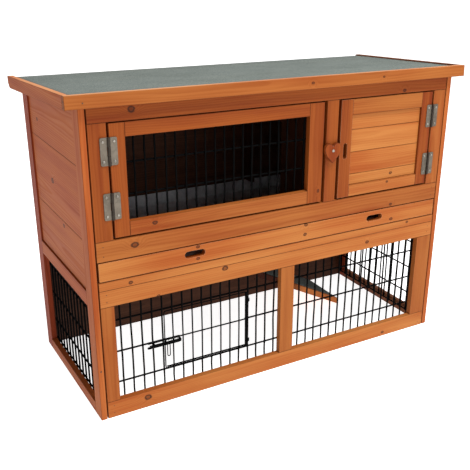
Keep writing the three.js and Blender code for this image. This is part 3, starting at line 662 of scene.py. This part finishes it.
def add_rod(bm, points, radius, sides=8, closed=False):
    """A round wire through points, with domed ends unless it is closed."""
    points = [Vector(p) for p in points]
    count = len(points)
    rings = []
    side = None
    for i, p in enumerate(points):
        before = points[i - 1] if (i or closed) else p
        after = points[(i + 1) % count] if (i + 1 < count or closed) else p
        way = (after - before).normalized()
        if side is None:
            side = way.orthogonal().normalized()
        side = (side - way * side.dot(way)).normalized()
        up = way.cross(side)
        shapes = BODY_PROFILE
        if not closed and i == 0:
            shapes = START_PROFILE
        if not closed and i == count - 1:
            shapes = END_PROFILE
        for share, push in shapes:
            rings.append(add_ring(bm, p + way * push * radius, side, up, radius * share, sides))
    pairs = list(zip(rings, rings[1:]))
    if closed:
        pairs.append((rings[-1], rings[0]))
    join_rings(bm, pairs)
    if not closed:
        bm.faces.new(rings[0])
        bm.faces.new(rings[-1])


def sheet_point(u_axis, depth_axis, u, z, depth):
    """A point in an upright sheet, from millimetres along it, up it and into it."""
    p = Vector((0.0, 0.0, z * MM))
    p[u_axis], p[depth_axis] = u * MM, depth * MM
    return p


# In millimetres: the radii of the welded wires, how far they stray from straight, and roughly how far
# apart the points are between which they run straight.
FRONT_WIRE_R = 2.25
SIDE_WIRE_R = 2.3
COLUMN_STRAY = 0.8
ROW_STRAY = 0.3
COLUMN_STEP = 35
ROW_STEP = 90


def spread(start, end, count):
    """count values from start to end."""
    return [start + (end - start) * k / (count - 1) for k in range(count)]


def spans(index, own, across, ends):
    """The stretches of a wire: one, or two where a door's hole lies between own's wires."""
    if own and own[0] < index < own[1]:
        return [(ends[0], ends[across[0]]), (ends[across[1]], ends[-1])]
    return [(ends[0], ends[-1])]


def welded_sheet(name, node, columns, rows, depth_axis, front, inward, radius, hole=(None, None)):
    """Round wires in place of a CAD grid. front is the depth of the sheet's outer side, and inward is the
    sign of the way from there. hole gives the numbers of the columns and of the rows round a door."""
    rng = random.Random(name)
    u_axis = Y if depth_axis == X else X
    bm = bmesh.new()
    column_depth = front + inward * radius
    row_depth = column_depth + inward * 1.7 * radius
    overrun = 2.2 * radius
    hole_columns, hole_rows = hole
    for i, u in enumerate(columns):
        for z0, z1 in spans(i, hole_columns, hole_rows, rows):
            points = []
            for z in spread(z0 - overrun, z1 + overrun, max(4, round((z1 - z0) / COLUMN_STEP))):
                stray = rng.uniform(-COLUMN_STRAY, COLUMN_STRAY)
                points.append(sheet_point(u_axis, depth_axis, u + stray, z, column_depth))
            add_rod(bm, points, radius * MM)
    for i, z in enumerate(rows):
        for u0, u1 in spans(i, hole_rows, hole_columns, columns):
            points = []
            for u in spread(u0 - overrun, u1 + overrun, max(3, round((u1 - u0) / ROW_STEP))):
                stray = rng.uniform(-ROW_STRAY, ROW_STRAY)
                points.append(sheet_point(u_axis, depth_axis, u, z + stray, row_depth))
            add_rod(bm, points, radius * MM)
    finish_piece(bm, name, [node], body_of(node), [black_wire])


def evenly(first, pitch, count):
    return [first + i * pitch for i in range(count)]


# Where the welded wires stand, in millimetres.
PITCH = 25.5
DOOR_PITCH = 23.875
RUN_COLUMNS = evenly(-459, PITCH, 37)
RUN_ROWS = (20, 77.5, 158, 238.5, 300)
SIDE_COLUMNS = evenly(-187.25, PITCH, 16)
DOOR_COLUMNS = evenly(-403.75, DOOR_PITCH, 21)
DOOR_ROWS = (459.2, 529.8, 600.4, 671)
WIRE_DOOR_HOLE = ((5, 14), (1, 3))
MESH_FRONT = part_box("mesh_door_mesh")[0].y / MM
SIDE_MESH_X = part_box("side_right_mesh")[1].x / MM
welded_sheet(
    "run_front_wires",
    "run_mesh",
    RUN_COLUMNS,
    RUN_ROWS,
    Y,
    MESH_FRONT,
    1,
    FRONT_WIRE_R,
    hole=WIRE_DOOR_HOLE,
)
welded_sheet("run_left_wires", "side_left_mesh", SIDE_COLUMNS, RUN_ROWS, X, -SIDE_MESH_X, 1, SIDE_WIRE_R)
welded_sheet("run_right_wires", "side_right_mesh", SIDE_COLUMNS, RUN_ROWS, X, SIDE_MESH_X, -1, SIDE_WIRE_R)
welded_sheet("mesh_door_wires", "mesh_door_mesh", DOOR_COLUMNS, DOOR_ROWS, Y, MESH_FRONT, 1, FRONT_WIRE_R)


def arc(centre, radius, start, end, steps, u=X, v=Z):
    """Points on an arc in the plane of two axes, in millimetres, angles in degrees."""
    points = []
    for k in range(steps + 1):
        t = math.radians(start + (end - start) * k / steps)
        p = Vector(centre)
        p[u] += radius * math.cos(t)
        p[v] += radius * math.sin(t)
        points.append(p * MM)
    return points


def add_coil(bm, x, y, z0):
    """A coil about a vertical line, from z0 upwards."""
    steps = COIL_STEPS * COIL_TURNS
    points = []
    for k in range(steps + 1):
        t = 2 * math.pi * k / COIL_STEPS
        z = z0 + COIL_HEIGHT * k / steps
        points.append(Vector((x + COIL_R * math.cos(t), y + COIL_R * math.sin(t), z)) * MM)
    add_rod(bm, points, COIL_WIRE_R * MM, sides=6)


def line(*points):
    """Points in millimetres, in metres."""
    return [Vector(p) * MM for p in points]


def add_guide(bm, x):
    """A wire loop that the bolt slides in, bent round it and welded to the door or the mesh behind it."""
    add_rod(bm, arc((x, BOLT_Y, BOLT_Z), GUIDE_R, *GUIDE_BEND, GUIDE_STEPS, u=Y, v=Z), GUIDE_WIRE_R * MM)
    add_rod(bm, line((x, BOLT_Y + 4.0, BOLT_Z), (x, MESH_Y - 0.6, BOLT_Z)), GUIDE_STEM_R * MM)


def add_rail(bm, x0, x1, z):
    """One of the two thick rails along the latch."""
    add_rod(bm, line((x0, RAIL_Y, z), (x1, RAIL_Y, z)), RAIL_R * MM)


def add_zigzag(bm, x0, x1, steps, y, levels, radius):
    """A thin wire bent to and fro between two levels."""
    points = [(x0 + (x1 - x0) * k / steps, y, levels[k % 2]) for k in range(steps + 1)]
    add_rod(bm, line(*points), radius * MM, sides=6)


# The wire door and its latch, in millimetres. The R values are the radii of wires, but for CORNER_R,
# COIL_R and GUIDE_R, to which wires are bent.
BORDER_R = 1.4
CORNER_R = 5.0
UPRIGHT_R = 4.0
DOOR_WIRE_R = 1.85
FOOT_R = 1.8
FOOT_LACING_R = 1.0
FOOT_LACING_STEPS = 44
COIL_R = 4.6
COIL_WIRE_R = 0.8
COIL_X = -104.4
COIL_HEIGHT = 9
COIL_TURNS = 4
COIL_STEPS = 12
GUIDE_R = 4.4
GUIDE_BEND = (20, 340)  # degrees
GUIDE_STEPS = 14
GUIDE_WIRE_R = 1.2
GUIDE_STEM_R = 1.7
RAIL_R = 2.9
RAIL_LACING_R = 1.1
RAIL_LACING_STEPS = 10
BOLT_R = 2.6
DOOR_GUIDES_X = (-328, -291)
KEEPER_X = -357
KEEPER_OVERHANG = 13
HANDLE_X = -321.0
HANDLE_HALF = 3.4
HANDLE_WIRE_R = 1.2

low, high = (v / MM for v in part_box("wire_door"))
MESH_Y = MESH_FRONT + 1.25
right, top = high.x - BORDER_R, high.z - BORDER_R
left, bottom = RUN_COLUMNS[5] + 3 + BORDER_R, low.z + BORDER_R
middle = (low.z + high.z) / 2
BOLT_Y = MESH_Y - 7.6
BOLT_Z = middle - 3
RAIL_Y = MESH_Y - 2.8
RAILS_Z = (BOLT_Z - 6.4, BOLT_Z + 6.4)

bm = bmesh.new()
corners = [
    ((right - CORNER_R, MESH_Y, bottom + CORNER_R), -90),
    ((right - CORNER_R, MESH_Y, top - CORNER_R), 0),
    ((left + CORNER_R, MESH_Y, top - CORNER_R), 90),
    ((left + CORNER_R, MESH_Y, bottom + CORNER_R), 180),
]
border = [p for centre, start in corners for p in arc(centre, CORNER_R, start, start + 90, 4)]
add_rod(bm, border, BORDER_R * MM, closed=True)
upright = line((right - 0.5, MESH_Y - 1.4, bottom + 3), (right - 0.5, MESH_Y - 1.4, top - 3))
add_rod(bm, upright, UPRIGHT_R * MM)
foot_bar = line((left + 4, MESH_Y - 1.0, bottom + 4.6), (right - 4, MESH_Y - 1.0, bottom + 4.6))
add_rod(bm, foot_bar, FOOT_R * MM)
foot_levels = (bottom - 0.4, bottom + 5.2)
add_zigzag(bm, left + 4, right - 4, FOOT_LACING_STEPS, MESH_Y - 2.0, foot_levels, FOOT_LACING_R)
for u in RUN_COLUMNS[6:14]:
    column = line((u, MESH_Y, bottom), (u + 0.5, MESH_Y, middle), (u, MESH_Y, top))
    add_rod(bm, column, DOOR_WIRE_R * MM)
add_rod(bm, line((left, MESH_Y + 2.1, middle), (right, MESH_Y + 2.1, middle)), DOOR_WIRE_R * MM)
for z0 in (bottom + 14, top - 26):
    add_coil(bm, COIL_X, MESH_Y - 2.4, z0)
for x in DOOR_GUIDES_X:
    add_guide(bm, x)
for z in RAILS_Z:
    add_rail(bm, DOOR_GUIDES_X[0] - 1, DOOR_GUIDES_X[1] - 1, z)
add_zigzag(bm, *DOOR_GUIDES_X, RAIL_LACING_STEPS, MESH_Y - 1.6, RAILS_Z, RAIL_LACING_R)
finish_piece(bm, "wire_door_wires", ["wire_door"], "run_door", [black_wire])

bm = bmesh.new()
add_guide(bm, KEEPER_X)
for z in RAILS_Z:
    add_rail(bm, KEEPER_X - KEEPER_OVERHANG, RUN_COLUMNS[5] - 1, z)
finish_piece(bm, "latch_keeper", [], "hutch", [black_wire])

low, high = (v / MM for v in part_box("latch_bolt"))
bm = bmesh.new()
bolt = line((low.x + 2.2, BOLT_Y, BOLT_Z), (-330, BOLT_Y, BOLT_Z), (high.x - 5.0, BOLT_Y, BOLT_Z))
add_rod(bm, bolt, BOLT_R * MM, sides=12)
foot = low.z + HANDLE_HALF + 1.2
handle = line((HANDLE_X - HANDLE_HALF, BOLT_Y, BOLT_Z))
handle += arc((HANDLE_X, BOLT_Y, foot), HANDLE_HALF, 180, 360, 8)
handle += line((HANDLE_X + HANDLE_HALF, BOLT_Y, BOLT_Z))
add_rod(bm, handle, HANDLE_WIRE_R * MM)
finish_piece(bm, "latch_bolt_rod", ["latch_bolt"], "bolt", [black_wire])


# ---- hinges and screws ----


def add_lathe(bm, profile, centre, axis, sides=16, material=0):
    """A closed turned form: profile is (radius, height) from bottom to top, along axis."""
    axis = Vector(axis).normalized()
    side = axis.orthogonal().normalized()
    up = axis.cross(side)
    rings = []
    for radius, height in profile:
        rings.append(add_ring(bm, Vector(centre) + axis * height, side, up, radius, sides))
    join_rings(bm, zip(rings, rings[1:]), material)
    for ring in (rings[0], rings[-1]):
        bm.faces.new(ring).material_index = material


def add_screw(bm, centre, axis, radius, material=0):
    """A domed screw head with a dimpled drive, its back at centre."""
    shares = [(0.9, -0.3), (1.0, 0.05), (0.86, 0.34), (0.5, 0.5), (0.34, 0.48), (0.22, 0.2)]
    add_lathe(bm, [(a * radius, b * radius) for a, b in shares], centre, axis, material=material)


# The door hinges: a leaf's plate, how far it stays from the pin's axis beside its own knuckles and beside
# the other leaf's, the pin, and the screws.
LEAF_FRONT = -212.9 * MM
LEAF_BACK = -211.3 * MM
LEAF_W = 18.5 * MM
LEAF_CORNER_R = 3.5 * MM
LEAF_CORNER_STEPS = 4
LEAF_BEVEL = 0.35 * MM
LEAF_NEAR = 1.2 * MM
LEAF_CLEAR = 4.2 * MM
PIN_X = 439.75 * MM
PIN_Y = -214.4 * MM
KNUCKLE_R = 3.2 * MM
KNUCKLE_LIP = 0.35 * MM
KNUCKLE_PLAY = 0.1 * MM
PIN_CAP = [(2.1 * MM, -0.6 * MM), (2.1 * MM, 0.2 * MM), (1.2 * MM, 0.7 * MM)]
SCREW_R = 2.9 * MM
SCREW_FROM_PIN = 12.0 * MM
SCREW_FROM_END = 8.5 * MM
SCREW_STEEL, PIN_STEEL = 1, 2  # places in a leaf's list of steels, after its plate's


def add_plate(bm, outline, y0, y1, bevel):
    """A flat plate: an outline in (x, z) between two depths, its front rim eased."""
    front = [bm.verts.new(Vector((x, y0, z))) for x, z in outline]
    back = [bm.verts.new(Vector((x, y1, z))) for x, z in outline]
    face = bm.faces.new(front)
    bm.faces.new(back[::-1])
    count = len(front)
    for k in range(count):
        bm.faces.new((front[k], back[k], back[(k + 1) % count], front[(k + 1) % count]))
    bmesh.ops.bevel(bm, geom=list(face.edges), offset=bevel, segments=2, profile=0.6, affect="EDGES")


def leaf_outline(axis_x, out, z0, height, middle, fixed):
    """A hinge leaf seen from the front: rounded outer corners, and cut back where the other leaf holds
    the pin, which is the middle of a fixed leaf and the ends of a moving one."""
    outline = []
    for turn, z in ((-90, z0 + LEAF_CORNER_R), (0, z0 + height - LEAF_CORNER_R)):
        for k in range(LEAF_CORNER_STEPS + 1):
            t = math.radians(turn + 90 * k / LEAF_CORNER_STEPS)
            u = LEAF_W - LEAF_CORNER_R + LEAF_CORNER_R * math.cos(t)
            outline.append((u, z + LEAF_CORNER_R * math.sin(t)))
    at_ends, at_middle = (LEAF_NEAR, LEAF_CLEAR) if fixed else (LEAF_CLEAR, LEAF_NEAR)
    outline += [(at_ends, z0 + height), (at_ends, middle[1]), (at_middle, middle[1])]
    outline += [(at_middle, middle[0]), (at_ends, middle[0]), (at_ends, z0)]
    return [(axis_x + out * u, z) for u, z in outline]


def door_hinge_leaf(node, axis_x, out, fixed):
    """A leaf with its knuckles and screws; the fixed leaf holds the pin's capped ends."""
    low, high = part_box(node)
    z0, height = low.z, high.z - low.z
    third = height / 3
    middle = (z0 + third, z0 + 2 * third)
    knuckles = [(z0, z0 + third), (z0 + 2 * third, z0 + height)] if fixed else [middle]
    bm = bmesh.new()
    add_plate(bm, leaf_outline(axis_x, out, z0, height, middle, fixed), LEAF_FRONT, LEAF_BACK, LEAF_BEVEL)
    for z_low, z_high in knuckles:
        length = z_high - z_low
        profile = [
            (KNUCKLE_R - KNUCKLE_LIP, KNUCKLE_PLAY),
            (KNUCKLE_R, KNUCKLE_LIP),
            (KNUCKLE_R, length - KNUCKLE_LIP),
            (KNUCKLE_R - KNUCKLE_LIP, length - KNUCKLE_PLAY),
        ]
        add_lathe(bm, profile, (axis_x, PIN_Y, z_low), (0, 0, 1), sides=18, material=PIN_STEEL)
    if fixed:
        for z, way in ((z0, -1), (z0 + height, 1)):
            add_lathe(bm, PIN_CAP, (axis_x, PIN_Y, z), (0, 0, way), sides=12, material=PIN_STEEL)
    for z in (z0 + SCREW_FROM_END, z0 + height - SCREW_FROM_END):
        centre = (axis_x + out * SCREW_FROM_PIN, LEAF_FRONT, z)
        add_screw(bm, centre, (0, -1, 0), SCREW_R, material=SCREW_STEEL)
    steels = [hinge_steel, screw_steel, pin_steel]
    finish_piece(bm, node + "_steel", [node], body_of(node), steels)


for door, sign in (("mesh_door", -1), ("solid_door", 1)):
    for level in ("upper", "lower"):
        door_hinge_leaf(f"{door}_hinge_{level}_fixed_leaf", sign * PIN_X, sign, True)
        door_hinge_leaf(f"{door}_hinge_{level}_moving_leaf", sign * PIN_X, -sign, False)

PIVOT_X, PIVOT_Z = 120.5 * MM, 571 * MM
PIVOT_SCREW_R = 3.6 * MM
bm = bmesh.new()
low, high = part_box("heart_turn_button")
add_screw(bm, Vector((PIVOT_X, low.y, PIVOT_Z)), (0, -1, 0), PIVOT_SCREW_R)
finish_piece(bm, "turn_button_screw", [], "turn_button", [screw_steel])


# ---- nails ----


def add_nails(name, body, places, axis, radius=1.1 * MM):
    """Nail heads, a little proud of the face they are driven into."""
    bm = bmesh.new()
    shares = [(0.9, -0.3 * MM), (1.0, 0.1 * MM), (0.8, 0.35 * MM), (0.3, 0.4 * MM)]
    for place in places:
        profile = [(radius * share, height) for share, height in shares]
        add_lathe(bm, profile, Vector(place) * MM, axis, sides=10)
    finish_piece(bm, name, [], body, [nail_steel])


# Where the nails are, in millimetres.
FACE_Y = -211
NAIL_X = 466
NAIL_LEVELS = (12, 31, 297, 314, 405, 427)
CORNER_NAIL_X = -491
STILE_NAIL_Z = 129
FASCIA_NAIL_Z = 738
END_NAIL_Y = -219
END_NAIL_LEVELS = (731, 742)
frame_nails = [(sign * NAIL_X, FACE_Y, z) for sign in (-1, 1) for z in NAIL_LEVELS]
stile_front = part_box("side_left_front_stile")[0].y / MM
fascia_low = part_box("roof_fascia_front")[0] / MM
stile_nail = (CORNER_NAIL_X, stile_front, STILE_NAIL_Z)
fascia_nail = (CORNER_NAIL_X, fascia_low.y, FASCIA_NAIL_Z)
end_nails = [(fascia_low.x, END_NAIL_Y, z) for z in END_NAIL_LEVELS]
add_nails("front_frame_nails", "hutch", frame_nails, (0, -1, 0))
add_nails("stile_nail", "hutch", [stile_nail], (0, -1, 0), radius=2.0 * MM)
add_nails("fascia_nail", "roof", [fascia_nail], (0, -1, 0), radius=1.5 * MM)
add_nails("fascia_end_nails", "roof", end_nails, (-1, 0, 0), radius=1.6 * MM)


# ---- felt, ramp and sheet metal ----


TRAY_EDGE = 0.3 * MM
ROOF_HINGE_EDGE = 0.15 * MM


def dressed_metal(node, material, edge):
    """The CAD node with its edges eased."""
    bm = clean_copy(node)
    round_edges(bm, bm.edges, edge)
    finish_piece(bm, node + "_metal", [node], body_of(node), [material])


dressed_metal("tray_pan", tray_steel, TRAY_EDGE)
dressed_metal("tray_hatch", tray_steel, TRAY_EDGE)
dressed_metal("roof_hinge_fixed_leaf", hinge_steel, ROOF_HINGE_EDGE)
dressed_metal("roof_hinge_moving_leaf", hinge_steel, ROOF_HINGE_EDGE)


def laid_sheet(name, nodes, body, corners, thickness, cells, wave, material):
    """A sheet of the given thickness upon the plane of four corners, which are given in turn round it. It
    has cells along the first side and along the second, and wave is the unevenness of its top."""
    rng = random.Random(name)
    a, b, c, d = (Vector(p) for p in corners)
    up = (b - a).cross(d - a).normalized()
    if up.z < 0:
        up = -up
    bm = bmesh.new()
    rows = []
    for j in range(cells[1] + 1):
        row = []
        for i in range(cells[0] + 1):
            s, t = i / cells[0], j / cells[1]
            p = a.lerp(b, s).lerp(d.lerp(c, s), t)
            inside = 0 < i < cells[0] and 0 < j < cells[1]
            row.append(bm.verts.new(p + up * (thickness + (rng.uniform(-wave, wave) if inside else 0))))
        rows.append(row)
    for r0, r1 in zip(rows, rows[1:]):
        for i in range(cells[0]):
            bm.faces.new((r0[i], r0[i + 1], r1[i + 1], r1[i])).smooth = True
    rim = [e for e in bm.edges if e.is_boundary]
    made = bmesh.ops.extrude_edge_only(bm, edges=rim)
    lowered = [v for v in made["geom"] if isinstance(v, bmesh.types.BMVert)]
    bmesh.ops.translate(bm, vec=-up * thickness, verts=lowered)
    under = [e for e in bm.edges if e.is_boundary]
    bmesh.ops.contextual_create(bm, geom=under)
    finish_piece(bm, name, nodes, body, [material])


FELT_T = 2.5 * MM
FELT_CELLS = (60, 26)
FELT_WAVE = 0.25 * MM
MAT_T = 1.6 * MM
MAT_CELLS = (60, 12)
MAT_WAVE = 0.15 * MM
MAT_INSET = 9 * MM
MAT_HEAD_SHARE = 0.015  # of the ramp's length left bare at its head
MAT_TIP_SHARE = 0.012  # and at its tip


def top_left_corner(points):
    """The highest of the points on the left side of the hutch."""
    return max((p for p in points if p.x < 0), key=lambda p: p.z)


felt_points = [v.co for v in NODES["roof_felt"].data.vertices]
felt_front = top_left_corner([p for p in felt_points if p.y < 0])
felt_rear = top_left_corner([p for p in felt_points if p.y > 0])
felt_corners = [
    (sign * abs(p.x), p.y, p.z - FELT_T)
    for sign, p in ((-1, felt_front), (1, felt_front), (1, felt_rear), (-1, felt_rear))
]
laid_sheet(
    "roof_felt_sheet", ["roof_felt"], "roof", felt_corners, FELT_T, FELT_CELLS, FELT_WAVE, felt
)

ramp_low, ramp_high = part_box("ramp")
ramp_points = [v.co for v in NODES["ramp"].data.vertices]
ramp_head = max(ramp_points, key=lambda p: p.z)
ramp_tip = max((p for p in ramp_points if p.x > ramp_high.x - MM), key=lambda p: p.z)
slope = ramp_tip - ramp_head
head, tip = ramp_head + slope * MAT_HEAD_SHARE, ramp_tip - slope * MAT_TIP_SHARE
mat_front, mat_back = ramp_low.y + MAT_INSET, ramp_high.y - MAT_INSET
mat_corners = [
    (head.x, mat_front, head.z),
    (tip.x, mat_front, tip.z),
    (tip.x, mat_back, tip.z),
    (head.x, mat_back, head.z),
]
laid_sheet("ramp_felt_strip", [], "ramp", mat_corners, MAT_T, MAT_CELLS, MAT_WAVE, mat_felt)


# ---- stage, light and camera ----

FLOOR_SIZE = 90
WORLD_STRENGTH = 0.5

bpy.ops.mesh.primitive_plane_add(size=FLOOR_SIZE, location=(0, 0, 0))
floor = bpy.context.object
floor.name = "studio_floor"
floor.data.materials.append(ground("studio_floor_paint"))

scene = bpy.context.scene
scene.view_settings.view_transform = "Standard"
world = bpy.data.worlds.new("studio")
scene.world = world
world.use_nodes = True
background = world.node_tree.nodes["Background"]
background.inputs["Color"].default_value = (1.0, 1.0, 1.0, 1.0)
background.inputs["Strength"].default_value = WORLD_STRENGTH


def add_softbox(name, location, target, size, power):
    """A square area light at location that faces target; its size is in metres and its power in watts."""
    light = bpy.data.lights.new(name, "AREA")
    light.shape = "SQUARE"
    light.size = size
    light.energy = power
    lamp = bpy.data.objects.new(name, light)
    lamp.location = location
    lamp.rotation_euler = (Vector(target) - Vector(location)).to_track_quat("-Z", "Y").to_euler()
    scene.collection.objects.link(lamp)


add_softbox("key", (0.4, -1.35, 3.4), (0, -0.1, 0.4), 1.1, 125)
add_softbox("front", (0.8, -3.4, 1.0), (0, -0.1, 0.3), 2.0, 30)

CAMERA_PLACE = (-0.9357, -1.6543, 1.0292)
CAMERA_HEADING = 32.784  # degrees from +Y towards +X
CAMERA_TILT = 22.291  # degrees downwards
CAMERA_ROLL = 1.58

camera_data = bpy.data.cameras.new("camera")
camera_data.sensor_width = 36.0
camera_data.lens = 57.22
camera_data.shift_x = -0.1064
camera_data.shift_y = 0.0372
camera = bpy.data.objects.new("camera", camera_data)
camera.location = CAMERA_PLACE
heading = Matrix.Rotation(-math.radians(CAMERA_HEADING), 3, "Z")
pitch = Matrix.Rotation(math.pi / 2 - math.radians(CAMERA_TILT), 3, "X")
roll = Matrix.Rotation(math.radians(CAMERA_ROLL), 3, "Z")
camera.rotation_euler = (heading @ pitch @ roll).to_euler()
scene.collection.objects.link(camera)
scene.camera = camera
